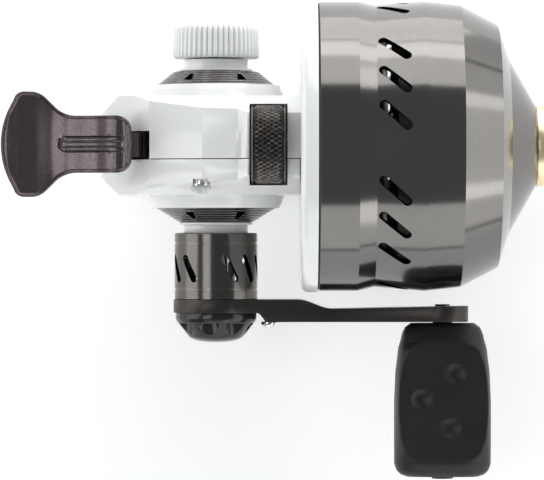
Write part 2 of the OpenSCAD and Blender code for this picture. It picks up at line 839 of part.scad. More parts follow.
// ---- thumb lever --------------------------------------------------------
module lever_plan() {
    edge_r = 20.5;
    edge_a = asin((pad_half - 1.6) / edge_r);
    linear_extrude(far) polygon(concat(
        arc(shank_front - nose_corner, nose_corner - shank_half, nose_corner, -90, -12, 6),
        arc(shank_front - nose_corner, shank_half - nose_corner, nose_corner, 12, 90, 6),
        arc(pad_rear + flare_run, shank_half + pad_flare, pad_flare, -90, -135, 6),
        arc(pad_rear + corner_run, pad_half - corner_r, corner_r, 45, 90, 6),
        arc(pad_rear + 5.6, pad_half - 2.6, 2.6, 90, 180 - edge_a, 4),
        arc(pad_rear + edge_r, 0, edge_r, 180 - edge_a, 180 + edge_a, 14),
        arc(pad_rear + 5.6, 2.6 - pad_half, 2.6, 180 + edge_a, 270, 4),
        arc(pad_rear + corner_run, corner_r - pad_half, corner_r, -90, -45, 6),
        arc(pad_rear + flare_run, -shank_half - pad_flare, pad_flare, 135, 90, 6)));
}

module lever_band() {
    crown = [for (p = lever_crown) [shank_front + (pad_rear - shank_front) * p[0], shank_top - p[1]]];
    n = len(crown);
    across(pad_half + 2)
        polygon(concat(crown, [for (i = [n - 1 : -1 : 0]) [crown[i][0], crown[i][1] - lever_t]]));
}

// long recess along the shank with a rib standing in it
module lever_recess() {
    run = rib_front - rib_back;
    translate([rib_back, 0, shank_top - rib_drop]) rotate([0, -rib_tilt, 0]) translate([0, 0, -rib_depth])
        difference() {
            union() {
                translate([0, -rib_half, 0]) cube([run, 2 * rib_half, far]);
                cylinder(r = rib_half, h = far, $fn = 32);
            }
            translate([0, -rib_w / 2, -1]) cube([far, rib_w, 1 + rib_depth - rib_low]);
        }
}

module thumb_lever() {
    color("#3d2e36") union() {
        difference() {
            intersection() {
                translate([0, 0, axis_h]) lever_plan();
                lever_band();
            }
            lever_recess();
        }
        across(lever_half) polygon([
            [-25.4, shank_top - lever_t + 1.2], [-18.4, shank_top - lever_t + 1.2], [-17.6, pivot_h + 4.2],
            [-14.6, pivot_h + 3], [-15.2, pivot_h + 2.1], [-18.6, pivot_h + 1.6], [-22.2, pivot_h + 3.4]]);
        difference() {
            union() {
                crank_side(-lever_half, pivot_x, pivot_h) cylinder(r = lever_hub_r, h = 2 * lever_half);
                across(lever_half) polygon([[pivot_x, pivot_h + 2], [-22.6, pivot_h + 0.4],
                    [nose_x - lever_nose_r, pivot_h - 1.6], [nose_x - lever_nose_r, axis_h],
                    [nose_x + lever_nose_r, axis_h], [nose_x + lever_nose_r, pivot_h - 2.9],
                    [pivot_x, pivot_h - 2.4]]);
                crank_side(-lever_half, nose_x, axis_h) cylinder(r = lever_nose_r, h = 2 * lever_half);
            }
            crank_side(-lever_half - 1, pivot_x, pivot_h)
                cylinder(r = pivot_r + run_fit, h = 2 * lever_half + 2);
        }
    }
}

module lever_pivot_pin() {
    color("silver") crank_side(-body_half_w + wall - 0.8, pivot_x, pivot_h)
        cylinder(r = pivot_r, h = 2 * (body_half_w - wall + 0.8));
}

// torsion spring round the pivot boss: one leg under the lever's arm, the other against the housing
module lever_spring() {
    y0 = lever_half + gap + 0.6;
    low = pivot_h - spring_mean_r;
    coil = [for (i = [0 : spring_turns * spring_steps]) let (a = 360 * i / spring_steps - 90)
        [pivot_x + spring_mean_r * cos(a), y0 + spring_pitch * i / spring_steps,
            pivot_h + spring_mean_r * sin(a)]];
    arm_leg = [for (p = [[4.8, -3.4, 0.84], [4.8, -1.6, 0.84], [4.7, -0.5, 0.8], [4, -0.05, 0.55],
        [2.4, 0, 0.2]])
        [pivot_x - p[0], y0 + p[1], low + p[2]]];
    wall_y = y0 + spring_pitch * spring_turns;
    wall_leg = [for (p = [[2.4, 0], [4.6, 0.3], [5.4, 1.2], [5.6, 2.6]])
        [pivot_x + p[0], wall_y + p[1], low]];
    color("gainsboro") sweep(concat(arm_leg, coil, wall_leg), spring_wire, [0.1, 0.3, 1]);
}

// long return spring round the main shaft
module shaft_spring() {
    x0 = thrust_front + coil_wire + 0.1;
    x1 = mesh_x - mesh_w / 2 - coil_wire - gap;
    last = coil_turns * coil_steps;
    color("gainsboro") sweep([for (i = [0 : last]) let (a = 360 * i / coil_steps)
        [x0 + (x1 - x0) * i / last, coil_mean_r * cos(a), axis_h + coil_mean_r * sin(a)]],
        coil_wire, [1, 0, 0]);
}

// ---- main shaft line ----------------------------------------------------
module thrust_cap() {
    color("ivory") along_x(thrust_back) difference() {
        cylinder(r = thrust_r, h = thrust_front - thrust_back);
        translate([0, 0, shaft_back - thrust_back - 0.1]) cylinder(r = shaft_r + run_fit, h = 10);
    }
}

module main_shaft() {
    color("silver") along_x(shaft_back) cylinder(r = shaft_r, h = shaft_front - shaft_back);
}

module pinion_outline() {
    half_root = pinion_tooth_root / 2;
    half_tip = pinion_tooth_tip / 2;
    circle(r = pinion_root_r);
    for (k = [0 : pinion_teeth - 1]) rotate(360 / pinion_teeth * k + 90)
        polygon([[pinion_root_r - 0.6, half_root], [pinion_tip_r, half_tip], [pinion_tip_r, -half_tip],
            [pinion_root_r - 0.6, -half_root]]);
}

module pinion() {
    color("darkgray") along_x(mesh_x - mesh_w / 2) difference() {
        union() {
            linear_extrude(mesh_w) pinion_outline();
            cylinder(r = sleeve_r, h = flange_back - mesh_x + mesh_w / 2 + 1.5);
        }
        translate([0, 0, -1]) cylinder(r = shaft_r + run_fit, h = 30);
    }
}

module main_bearing() {
    color("silver") along_x(front_wall_x) ball_bearing(sleeve_r + run_fit, bearing_r, 4);
}

module pinion_bush() {
    color("peru") along_x(mesh_x + mesh_w / 2 + gear_margin)
        tube(bush_r, sleeve_r + run_fit, front_wall_x - mesh_x - mesh_w / 2 - gear_margin - 0.05);
}

module hub_screw_places() {
    for (k = [0 : 2]) along_x(flange_front) rotate(120 * k + 60) translate([9.2, 0, 0]) children();
}

module spool_hub() {
    color("silver") along_x(flange_front) difference() {
        union() {
            cylinder(r = hub_plate_r, h = hub_plate_t);
            cylinder(r = hub_tube_r, h = hub_front - flange_front + clip_t + 0.8);
        }
        translate([0, 0, -1]) cylinder(r = sleeve_r + 0.4, h = 6);
        translate([0, 0, 4]) cylinder(r = shaft_r + 0.4, h = 40);
        translate([0, 0, hub_front - flange_front + clip_t + 0.8 - bush_len]) cylinder(r = 3.4, h = 10);
        rotate_extrude() translate([hub_tube_r - 0.6, hub_front - flange_front - 0.01])
            square([2, clip_t + 0.02]);
        for (k = [0 : 2]) rotate(120 * k + 60) translate([9.2, 0, -1]) cylinder(r = 1, h = 4);
    }
}

module hub_screws() {
    color("silver") hub_screw_places() {
        translate([0, 0, -2.9]) cylinder(r = 1, h = 3.5);
        translate([0, 0, hub_plate_t]) cylinder(r = 1.6, h = 0.12);
    }
}

module hub_bush() {
    color("peru") along_x(hub_front + clip_t + 0.8 - bush_len) tube(3.4, shaft_r + run_fit, bush_len);
}

module spool_clip() {
    color("silver") along_x(hub_front) difference() {
        tube(hub_tube_r + 1.2, hub_tube_r - 0.6, clip_t);
        translate([0, -2, -1]) cube([20, 4, 4]);
    }
}

module spool() {
    color("silver") along_x(spool_back) difference() {
        rotate_extrude() polygon([[hub_tube_r + run_fit, 0], [spool_r, 0], [spool_r, spool_lip],
            [arbor_r, spool_lip], [arbor_r, spool_front - spool_back - spool_lip],
            [spool_r, spool_front - spool_back - spool_lip], [spool_r, spool_front - spool_back],
            [hub_tube_r + 1.6, spool_front - spool_back], [hub_tube_r + 1.6, spool_front - spool_back - 1],
            [hub_tube_r + run_fit, spool_front - spool_back - 1]]);
        for (k = [0 : 5]) rotate(60 * k + 30) translate([11.4, 0, -1]) cylinder(r = 1.8, h = 30, $fn = 32);
    }
}

module wound_line() {
    color("darkolivegreen") along_x(spool_back + spool_lip) rotate_extrude() polygon([[arbor_r, 0],
        [line_r - 0.6, 0], [line_r, 2], [line_r, spool_front - spool_back - 2 * spool_lip - 2],
        [line_r - 0.6, spool_front - spool_back - 2 * spool_lip],
        [arbor_r, spool_front - spool_back - 2 * spool_lip]]);
}

module spinner_head() {
    color("silver") along_x(0) difference() {
        union() {
            rotate_extrude() polygon(concat(
                [[spinner_r - spinner_skin, spinner_edge], [spinner_r - 0.5, spinner_edge],
                    [spinner_r, spinner_edge + 0.5]],
                arc(spinner_r - 3, spinner_plate + spinner_skin - 3, 3, 0, 90, 6),
                [[shaft_r, spinner_plate + spinner_skin], [shaft_r, spinner_hub_back],
                    [spinner_hub_r, spinner_hub_back], [spinner_hub_r, spinner_plate],
                    [spinner_r - 3, spinner_plate], [spinner_r - spinner_skin, spinner_plate - 1.5]]));
            translate([-pickup_in - 1.4, 0, pickup_x]) rotate([0, -90, 0])
                cylinder(r = pickup_boss_r, h = spinner_r - spinner_skin - pickup_in - 1);
        }
        translate([-pickup_in + 4, 0, pickup_x]) rotate([0, -90, 0])
            cylinder(r = pickup_r + run_fit, h = 20);
        for (k = [0 : spinner_holes - 1]) rotate(60 * k + 30) translate([17, 0, spinner_plate - 1])
            cylinder(r = spinner_hole_r, h = 4, $fn = 48);
    }
}

module spinner_nut() {
    color("silver") along_x(spinner_plate + spinner_skin) difference() {
        cylinder(r = spinner_nut_r, h = nut_len, $fn = 6);
        translate([0, 0, -1]) cylinder(r = shaft_r, h = 10);
    }
}

module pickup_pin() {
    color("gainsboro") translate([pickup_x, 0, axis_h + pickup_in])
        cylinder(r = pickup_r, h = spinner_r + pickup_proud - pickup_in);
}

// ---- drag ---------------------------------------------------------------
module spur_outline(pitch_r, teeth, phase) {
    pitch = 360 / teeth;
    polygon([for (k = [0 : teeth - 1])
        for (q = [[-0.31, -tooth_in], [-0.2, 0], [-0.11, tooth_out],
            [0.11, tooth_out], [0.2, 0], [0.31, -tooth_in]])
            let (a = pitch * (k + q[0]) + phase) [(pitch_r + q[1]) * cos(a), (pitch_r + q[1]) * sin(a)]]);
}

module drag_dial() {
    color("#3a3938") along_x(dial_x, dial_h) difference() {
        intersection() {
            ribbed_disc(dial_r + 0.2, 0.65, dial_notches, dial_w);
            rotate_extrude() polygon([[0, 0], [dial_r - 0.7, 0], [dial_r, 0.7], [dial_r, dial_w - 0.7],
                [dial_r - 0.7, dial_w], [0, dial_w]]);
        }
        translate([0, 0, -1]) cylinder(r = spindle_r, h = 30);
    }
}

module dial_spindle() {
    color("silver") along_x(0, dial_h) {
        translate([0, 0, spindle_back]) cylinder(r = spindle_r, h = ring_x - spindle_back + eps);
        translate([0, 0, ring_x]) linear_extrude(ring_w) spur_outline(dial_pitch_r, dial_teeth, 0);
    }
}

module drag_ring() {
    color("khaki") along_x(ring_x) difference() {
        linear_extrude(ring_w) spur_outline(ring_pitch_r, ring_teeth, 180 + 180 / ring_teeth);
        translate([0, 0, -1]) cylinder(r = hub_tube_r + run_fit, h = 10);
    }
}

module drag_washers() {
    color("tan") for (k = [0 : washer_count - 1])
        along_x(washer_x + k * washer_t)
            tube(washer_r - 0.4 * (k % 2), hub_tube_r + run_fit, washer_t - 0.03);
}

// ---- foot ---------------------------------------------------------------
module foot_side() {
    half = foot_len / 2;
    flat = foot_flat / 2;
    polygon([[-half, 0], [half, 0], [half, foot_tip_t], [flat, foot_t],
        [-flat, foot_t], [-half, foot_tip_t]]);
}

module reel_foot() {
    half = foot_len / 2;
    round_r = foot_w / 2;
    color("#2b2a2a") difference() {
        union() {
            intersection() {
                across(foot_w) foot_side();
                translate([0, 0, -1]) linear_extrude(foot_t + 2) polygon(concat(
                    arc(half - round_r, 0, round_r + eps, -90, 90, 16),
                    arc(round_r - half, 0, round_r + eps, 90, 270, 16)));
            }
            intersection() {
                across(stem_w / 2) polygon([[-stem_len / 2, foot_t - 0.5], [stem_len / 2, foot_t - 0.5],
                    [stem_len / 2 - 3, foot_t + 5], [stem_len / 2 - 3, floor_h - 5], [stem_len / 2, floor_h],
                    [-stem_len / 2, floor_h], [-stem_len / 2 + 3, floor_h - 5],
                    [-stem_len / 2 + 3, foot_t + 5]]);
                translate([-far / 2, 0, 0]) rotate([90, 0, 90]) linear_extrude(far)
                    polygon([[-stem_w / 2, foot_t - 1], [stem_w / 2, foot_t - 1],
                        [stem_w / 2 - 1.5, foot_t + 4],
                        [stem_w / 2 - 1.5, floor_h - 4], [stem_w / 2, floor_h], [-stem_w / 2, floor_h],
                        [-stem_w / 2 + 1.5, floor_h - 4], [-stem_w / 2 + 1.5, foot_t + 4]]);
            }
        }
        for (x = [-foot_screw_x, foot_screw_x]) translate([x, 0, 0]) {
            translate([0, 0, -1]) cylinder(r = foot_screw_r, h = far);
            translate([0, 0, -1]) cylinder(r = foot_screw_head_r, h = 1 + 2.1);
        }
    }
}

module foot_screws() {
    color("silver") for (x = [-foot_screw_x, foot_screw_x]) translate([x, 0, 0]) difference() {
        union() {
            translate([0, 0, 0.4]) cylinder(r = foot_screw_head_r, h = 1.7);
            translate([0, 0, 1]) cylinder(r = foot_screw_r, h = floor_h + foot_screw_up - 1);
        }
        translate([0, 0, -0.6]) cylinder(r = 1.4, h = 2, $fn = 6);
    }
}

body_housing();
side_cover();
side_cover_screws();
front_cover();
cover_seal_ring();
nose_ring();
far_trim_ring();
crank_trim_ring();
far_collar();
crank_collar();
far_bearing();
crank_bearing();
anti_reverse_clutch();
main_bearing();
pinion_bush();
spool_hub();
hub_screws();
hub_bush();
reel_foot();
foot_screws();
lever_pivot_pin();
lever_spring();
shaft_spring();
crank_shaft();
drive_gear();
slotted_drum();
crank_arm();
crank_nut_cap();
nut_lock_screw();
side_cap();
knob_pin();
crank_knob();
knob_end_cap();
thumb_lever();
thrust_cap();
main_shaft();
spinner_head();
spinner_nut();
pickup_pin();
pinion();
spool();
wound_line();
drag_dial();
dial_spindle();
drag_ring();
drag_washers();
spool_clip();
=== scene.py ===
import json
import math

import bmesh
import bpy
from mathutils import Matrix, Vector
from mathutils.geometry import delaunay_2d_cdt


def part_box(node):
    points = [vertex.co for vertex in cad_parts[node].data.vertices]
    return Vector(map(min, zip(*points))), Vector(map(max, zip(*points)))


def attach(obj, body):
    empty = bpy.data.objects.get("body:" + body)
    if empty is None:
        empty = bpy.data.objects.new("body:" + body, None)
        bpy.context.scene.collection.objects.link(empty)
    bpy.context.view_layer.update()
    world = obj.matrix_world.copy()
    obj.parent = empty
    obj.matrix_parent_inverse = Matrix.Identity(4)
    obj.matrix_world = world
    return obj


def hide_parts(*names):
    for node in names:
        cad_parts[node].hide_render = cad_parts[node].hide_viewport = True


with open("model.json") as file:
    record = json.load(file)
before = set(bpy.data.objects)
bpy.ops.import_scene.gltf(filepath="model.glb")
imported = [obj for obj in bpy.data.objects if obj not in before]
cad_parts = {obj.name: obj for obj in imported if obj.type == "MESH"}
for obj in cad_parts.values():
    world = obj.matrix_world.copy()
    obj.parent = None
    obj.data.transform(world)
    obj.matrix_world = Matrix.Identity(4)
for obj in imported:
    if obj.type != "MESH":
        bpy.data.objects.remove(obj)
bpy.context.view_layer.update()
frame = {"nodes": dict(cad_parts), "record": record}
NODES = frame["nodes"]
MM = 0.001

# ---- places taken from the frame ---------------------------------------------------------------


def centre(node):
    low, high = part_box(node)
    return (low + high) / 2


cover_low, cover_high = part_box("front_cover")
AXIS_H = centre("front_cover").z
CRANK_H = centre("crank_shaft").z

# ---- camera, floor and light -------------------------------------------------------------------

VIEW_X = 14.1 * MM
VIEW_Y = -23.4 * MM
VIEW_WIDTH = 136 * MM
VIEW_DISTANCE = 950 * MM
SENSOR = 36
FLOOR_HALF = 4.0
FLOOR_GAP = 0.0004


def make_camera():
    cam = bpy.data.cameras.new("camera")
    cam.sensor_width = SENSOR
    cam.lens = SENSOR * VIEW_DISTANCE / VIEW_WIDTH
    cam.clip_start = 0.05
    cam.clip_end = 20
    obj = bpy.data.objects.new("camera", cam)
    obj.location = (VIEW_X, VIEW_Y, AXIS_H + VIEW_DISTANCE)
    bpy.context.scene.collection.objects.link(obj)
    bpy.context.scene.camera = obj


def panel(name, place, target, size, radiance):
    light = bpy.data.lights.new(name, "AREA")
    light.shape = "RECTANGLE"
    light.size, light.size_y = size
    light.energy = radiance * math.pi * size[0] * size[1]
    obj = bpy.data.objects.new(name, light)
    obj.location = place
    obj.rotation_mode = "QUATERNION"
    obj.rotation_quaternion = (Vector(place) - Vector(target)).to_track_quat("Z", "Y")
    bpy.context.scene.collection.objects.link(obj)


def make_studio():
    aim = (0.015, 0, AXIS_H)
    panel("panel_far", (0.05, 1.1, 0.48), aim, (1.2, 0.88), 2.1)
    panel("panel_near", (0.05, -1.2, 0.52), aim, (1.4, 0.96), 1.3)
    panel("panel_front", (1.3, 0.0, 0.5), aim, (1.7, 0.9), 1.7)
    panel("panel_corner_near", (0.95, -0.95, 0.5), aim, (0.9, 0.9), 1.6)
    panel("panel_corner_far", (0.95, 0.95, 0.5), aim, (0.9, 0.9), 1.3)
    panel("panel_back", (-1.3, 0.1, 0.5), aim, (1.6, 1.0), 2.1)
    panel("panel_high_back", (-0.5, 0.0, 1.1), aim, (0.5, 0.42), 2.4)
    panel("card_far", (0.068, 0.12, 0.052), (0.052, 0.0, 0.045), (0.11, 0.1), 1.7)
    world = bpy.data.worlds.new("studio")
    world.use_nodes = True
    world.node_tree.nodes["Background"].inputs[0].default_value = (0.9, 0.95, 1.0, 1)
    world.node_tree.nodes["Background"].inputs[1].default_value = 0.27
    bpy.context.scene.world = world
    bpy.context.scene.view_settings.view_transform = "Standard"


def make_floor():
    mesh = bpy.data.meshes.new("floor")
    half = FLOOR_HALF
    corners = [(-half, -half, 0), (half, -half, 0), (half, half, 0), (-half, half, 0)]
    mesh.from_pydata(corners, [], [(0, 1, 2, 3)])
    floor = bpy.data.objects.new("floor", mesh)
    floor.location.z = -FLOOR_GAP
    bpy.context.scene.collection.objects.link(floor)
    mat = bpy.data.materials.new("floor_paper")
    mat.use_nodes = True
    shader = mat.node_tree.nodes["Principled BSDF"]
    shader.inputs["Base Color"].default_value = (0.97, 0.97, 0.97, 1)
    shader.inputs["Roughness"].default_value = 0.9
    shader.inputs["Emission Color"].default_value = (1, 1, 1, 1)
    shader.inputs["Emission Strength"].default_value = 0.2
    floor.data.materials.append(mat)


# ---- materials ---------------------------------------------------------------------------------


class Nodes:
    """Small helper that adds and links shader nodes."""

    def __init__(self, name):
        self.mat = bpy.data.materials.new(name)
        self.mat.use_nodes = True
        self.tree = self.mat.node_tree
        self.shader = self.tree.nodes["Principled BSDF"]

    def add(self, kind, links=(), **settings):
        node = self.tree.nodes.new(kind)
        for key, value in settings.items():
            if key in node.inputs:
                node.inputs[key].default_value = value
            else:
                setattr(node, key, value)
        for socket, source in links:
            self.link(source, node.inputs[socket])
        return node

    def link(self, source, target):
        self.tree.links.new(source, target)

    def math(self, operation, a, b=None):
        node = self.add("ShaderNodeMath", operation=operation)
        for index, value in enumerate((a, b)):
            if value is None:
                continue
            if isinstance(value, (int, float)):
                node.inputs[index].default_value = value
            else:
                self.link(value, node.inputs[index])
        return node.outputs[0]

    def place(self):
        return self.add("ShaderNodeTexCoord").outputs["Object"]

    def ring_place(self, axis, at, along, around):
        """Coordinates that run along an axis, round it and out from it, so a texture can streak round it."""
        sep = self.add("ShaderNodeSeparateXYZ", links=[("Vector", self.place())]).outputs
        a, b = [i for i in range(3) if i != axis]
        da = self.math("SUBTRACT", sep[a], at[a])
        db = self.math("SUBTRACT", sep[b], at[b])
        angle = self.math("ARCTAN2", da, db)
        squares = self.math("ADD", self.math("MULTIPLY", da, da), self.math("MULTIPLY", db, db))
        radius = self.math("SQRT", squares)
        join = self.add("ShaderNodeCombineXYZ")
        self.link(self.math("MULTIPLY", sep[axis], along), join.inputs[0])
        self.link(self.math("MULTIPLY", angle, around), join.inputs[1])
        self.link(self.math("MULTIPLY", radius, along), join.inputs[2])
        return join.outputs[0]

    def noise(self, vector, scale, detail=4.0, rough=0.55):
        return self.add("ShaderNodeTexNoise", links=[("Vector", vector)], Scale=scale, Detail=detail,
                        Roughness=rough).outputs["Fac"]

    def spread(self, fac, low, high, start=0.3, end=0.7):
        node = self.add("ShaderNodeMapRange", links=[("Value", fac)])
        for key, value in (("From Min", start), ("From Max", end), ("To Min", low), ("To Max", high)):
            node.inputs[key].default_value = value
        return node.outputs["Result"]

    def mix(self, fac, a, b):
        node = self.add("ShaderNodeMix", data_type="RGBA")
        for socket, value in ((0, fac), (6, a), (7, b)):
            if isinstance(value, (tuple, list, float, int)):
                node.inputs[socket].default_value = (*value, 1) if isinstance(value, (tuple, list)) else value
            else:
                self.link(value, node.inputs[socket])
        return node.outputs[2]

    def bump(self, height, strength, distance):
        node = self.add("ShaderNodeBump", links=[("Height", height)], Strength=strength, Distance=distance)
        self.link(node.outputs[0], self.shader.inputs["Normal"])

    def edge_mask(self, radius):
        """1 on sharp outer and inner edges, 0 on flats."""
        soft = self.add("ShaderNodeBevel", Radius=radius).outputs[0]
        flat = self.add("ShaderNodeNewGeometry").outputs["Normal"]
        dot = self.add("ShaderNodeVectorMath", operation="DOT_PRODUCT")
        self.link(soft, dot.inputs[0])
        self.link(flat, dot.inputs[1])
        return self.spread(dot.outputs["Value"], 1.0, 0.0, 0.86, 0.995)


# radius of the edge mask: worn edges, and a painted highlight on the dial's knurl peaks
WEAR_AND_SHEEN_R = 0.25 * MM


def shade(tone, factor):
    """The tone made lighter or darker, kept within 1."""
    return tuple(min(1.0, c * factor) for c in tone)


def finish_material(name, tone, metallic, rough, vary=0.06, rough_vary=0.06, grain=900.0, bump=0.05,
                    coat=0.0, coat_rough=0.1, wear_and_sheen=0.0, wear_and_sheen_tone=None, lathe=None, streak=0.0, specular=0.5):
    """A finish with colour drift, uneven gloss, fine bump and, where asked, turned streaks and lighter edges:
    worn edges, and on the dial's knurl peaks a painted highlight.
    """
    n = Nodes(name)
    s = n.shader
    s.inputs["Metallic"].default_value = metallic
    s.inputs["Specular IOR Level"].default_value = specular
    s.inputs["Coat Weight"].default_value = coat
    s.inputs["Coat Roughness"].default_value = coat_rough
    broad = n.noise(n.place(), 90.0, 3.0)
    if lathe:
        fine = n.noise(n.ring_place(*lathe), 1.0, 6.0, 0.7)
    else:
        fine = n.noise(n.place(), grain, 5.0)
    colour = n.mix(n.spread(broad, 0, 1), shade(tone, 1 - vary), shade(tone, 1 + vary))
    if streak:
        colour = n.mix(n.spread(fine, 0.0, streak), colour, shade(tone, 0.35))
    # lighter edges in patches: wear, and on the dial's knurl peaks a painted highlight
    if wear_and_sheen:
        mask = n.edge_mask(WEAR_AND_SHEEN_R)
        edge = n.math("MULTIPLY", mask, n.spread(n.noise(n.place(), 700.0), 0, wear_and_sheen, 0.35, 0.6))
        colour = n.mix(edge, colour, wear_and_sheen_tone or shade(tone, 2.2))
    n.link(colour, s.inputs["Base Color"])
    n.link(n.spread(fine, max(0.02, rough - rough_vary), rough + rough_vary), s.inputs["Roughness"])
    n.bump(fine, bump, 0.05 * MM)
    return n.mat


MAIN_AXIS = (0, (0, 0, AXIS_H))
CRANK_AXIS = (1, (0, 0, CRANK_H))


def turned(axis, along=9000.0, around=3.0):
    """ring_place's arguments for the fine marks that a lathe leaves."""
    return (axis[0], axis[1], along, around)


def make_materials():
    m = {}
    m["white_gloss"] = finish_material("white_enamel", (0.8, 0.805, 0.8), 0.0, 0.2, vary=0.015,
                                       rough_vary=0.05, grain=500.0, bump=0.03, coat=0.5, coat_rough=0.06)
    m["white_plastic"] = finish_material("white_plastic", (0.81, 0.815, 0.81), 0.0, 0.32, vary=0.02,
                                         grain=1500.0, bump=0.06)
    m["gunmetal"] = finish_material("gunmetal_anodised", (0.175, 0.168, 0.16), 1.0, 0.13, vary=0.03,
                                    rough_vary=0.05, bump=0.02, lathe=turned(MAIN_AXIS), streak=0.12)
    m["drum_gunmetal"] = finish_material("drum_nickel", (0.125, 0.118, 0.11), 1.0, 0.17, vary=0.05, bump=0.03,
                                         lathe=turned(CRANK_AXIS), streak=0.25, wear_and_sheen=0.5,
                                         wear_and_sheen_tone=(0.45, 0.44, 0.42))
    m["trim_black"] = finish_material("trim_anodised", (0.14, 0.13, 0.13), 1.0, 0.24, vary=0.05, bump=0.04,
                                      lathe=turned(CRANK_AXIS, 14000.0), streak=0.3, wear_and_sheen=0.7,
                                      wear_and_sheen_tone=(0.5, 0.48, 0.47))
    m["gold"] = finish_material("gold_ring", (0.95, 0.8, 0.52), 1.0, 0.34, vary=0.05, bump=0.02,
                                lathe=turned(MAIN_AXIS), streak=0.1)
    m["cap_black"] = finish_material("cap_gloss_black", (0.035, 0.032, 0.031), 0.6, 0.17, vary=0.15,
                                     grain=1500.0, bump=0.04, wear_and_sheen=0.4, wear_and_sheen_tone=(0.3, 0.29, 0.27))
    m["pin_dark"] = finish_material("pin_blackened", (0.05, 0.046, 0.044), 0.8, 0.3, vary=0.1, bump=0.05)
    m["spinner_titanium"] = finish_material("spinner_titanium", (0.085, 0.08, 0.075), 1.0, 0.45, vary=0.08,
                                            bump=0.04, lathe=turned(MAIN_AXIS), streak=0.2)
    m["rubber_black"] = finish_material("seal_rubber", (0.02, 0.02, 0.02), 0.0, 0.6, bump=0.1)
    m["arm_satin"] = finish_material("arm_satin", (0.045, 0.04, 0.037), 0.75, 0.38, vary=0.12, grain=2600.0,
                                     bump=0.12, wear_and_sheen=0.35, wear_and_sheen_tone=(0.25, 0.23, 0.21))
    m["knob_black"] = finish_material("knob_soft_touch", (0.011, 0.011, 0.013), 0.0, 0.44, vary=0.18,
                                      grain=3200.0, bump=0.14, specular=0.32)
    # dial: the lighter knurl peaks are a painted highlight as well as wear
    m["dial_dark"] = finish_material("dial_black", (0.055, 0.05, 0.046), 0.6, 0.33, vary=0.1, bump=0.05,
                                     wear_and_sheen=0.9, wear_and_sheen_tone=(0.42, 0.39, 0.36))
    m["steel"] = finish_material("turned_steel", (0.6, 0.6, 0.6), 1.0, 0.22, vary=0.04, bump=0.03)
    m["chrome_screw"] = finish_material("chrome_screw", (0.72, 0.72, 0.73), 1.0, 0.1, vary=0.04, bump=0.02)
    m["spring_steel"] = finish_material("spring_steel", (0.5, 0.5, 0.5), 1.0, 0.25, vary=0.05, bump=0.03)
    m["bronze"] = finish_material("sintered_bronze", (0.5, 0.34, 0.18), 1.0, 0.35, vary=0.12, bump=0.1)
    m["aluminium"] = finish_material("machined_aluminium", (0.3, 0.3, 0.31), 1.0, 0.45, vary=0.04, bump=0.03,
                                     lathe=turned(MAIN_AXIS), streak=0.2)
    m["gear_zinc"] = finish_material("gear_zinc", (0.4, 0.4, 0.41), 1.0, 0.4, vary=0.08, bump=0.08)
    m["acetal"] = finish_material("acetal", (0.8, 0.78, 0.7), 0.0, 0.4, vary=0.03, bump=0.04)
    m["line_green"] = line_material()
    m["foot_black"] = finish_material("foot_black", (0.03, 0.03, 0.031), 0.4, 0.36, vary=0.1, grain=1800.0,
                                      bump=0.12, wear_and_sheen=0.3, wear_and_sheen_tone=(0.2, 0.2, 0.2))
    m["lever_aubergine"] = lever_material()
    return m


def line_material():
    """Tightly wound braided line: turns side by side round the spool."""
    n = Nodes("wound_braid")
    turns = n.ring_place(0, (0, 0, AXIS_H), 1.0, 0.02)
    wave = n.add("ShaderNodeTexWave", links=[("Vector", turns)], Scale=650.0, Distortion=0.6,
                 bands_direction="X")
    colour = n.mix(wave.outputs["Fac"], (0.16, 0.2, 0.09), (0.4, 0.47, 0.26))
    n.link(colour, n.shader.inputs["Base Color"])
    n.shader.inputs["Roughness"].default_value = 0.6
    n.bump(wave.outputs["Fac"], 0.6, 0.2 * MM)
    return n.mat


def lever_material():
    """Dark aubergine paint with fine metal flake under a clear coat."""
    n = Nodes("aubergine_flake")
    s = n.shader
    s.inputs["Metallic"].default_value = 0.85
    s.inputs["Coat Weight"].default_value = 0.6
    s.inputs["Coat Roughness"].default_value = 0.12
    flake = n.add("ShaderNodeTexVoronoi", links=[("Vector", n.place())], Scale=13000.0)
    sparkle = n.spread(flake.outputs["Color"], 0.0, 1.0, 0.5, 0.95)
    colour = n.mix(sparkle, (0.07, 0.052, 0.06), (0.17, 0.135, 0.155))
    edge = n.math("MULTIPLY", n.edge_mask(0.3 * MM), n.spread(n.noise(n.place(), 500.0), 0, 0.5, 0.35, 0.6))
    n.link(n.mix(edge, colour, (0.42, 0.36, 0.38)), s.inputs["Base Color"])
    n.link(n.spread(n.noise(n.place(), 1200.0), 0.22, 0.32), s.inputs["Roughness"])
    n.bump(flake.outputs["Distance"], 0.05, 0.02 * MM)
    return n.mat


# ---- rebuilt pieces ----------------------------------------------------------------------------

BODY_OF = {node: body for body, nodes in frame["record"]["behaviour"]["bodies"].items() for node in nodes}
SLOT_OF = {s["node"]: s["material_slot"] for s in frame["record"]["subparts"]}


def stand_in(name, verts, faces, node, mats, crease):
    """A mesh in millimetres that stands for one CAD node; edges sharper than crease degrees stay crisp."""
    mesh = bpy.data.meshes.new(name)
    mesh.from_pydata([Vector(v) * MM for v in verts], [], faces)
    bm = bmesh.new()
    bm.from_mesh(mesh)
    bmesh.ops.remove_doubles(bm, verts=bm.verts, dist=0.001 * MM)
    bmesh.ops.recalc_face_normals(bm, faces=bm.faces)
    for face in bm.faces:
        face.smooth = True
    for edge in bm.edges:
        edge.smooth = len(edge.link_faces) == 2 and edge.calc_face_angle(0.0) < math.radians(crease)
    bm.to_mesh(mesh)
    bm.free()
    obj = bpy.data.objects.new(name, mesh)
    bpy.context.scene.collection.objects.link(obj)
    mesh.materials.append(mats[SLOT_OF[node]])
    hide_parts(node)
    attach(obj, BODY_OF[node])
    return obj


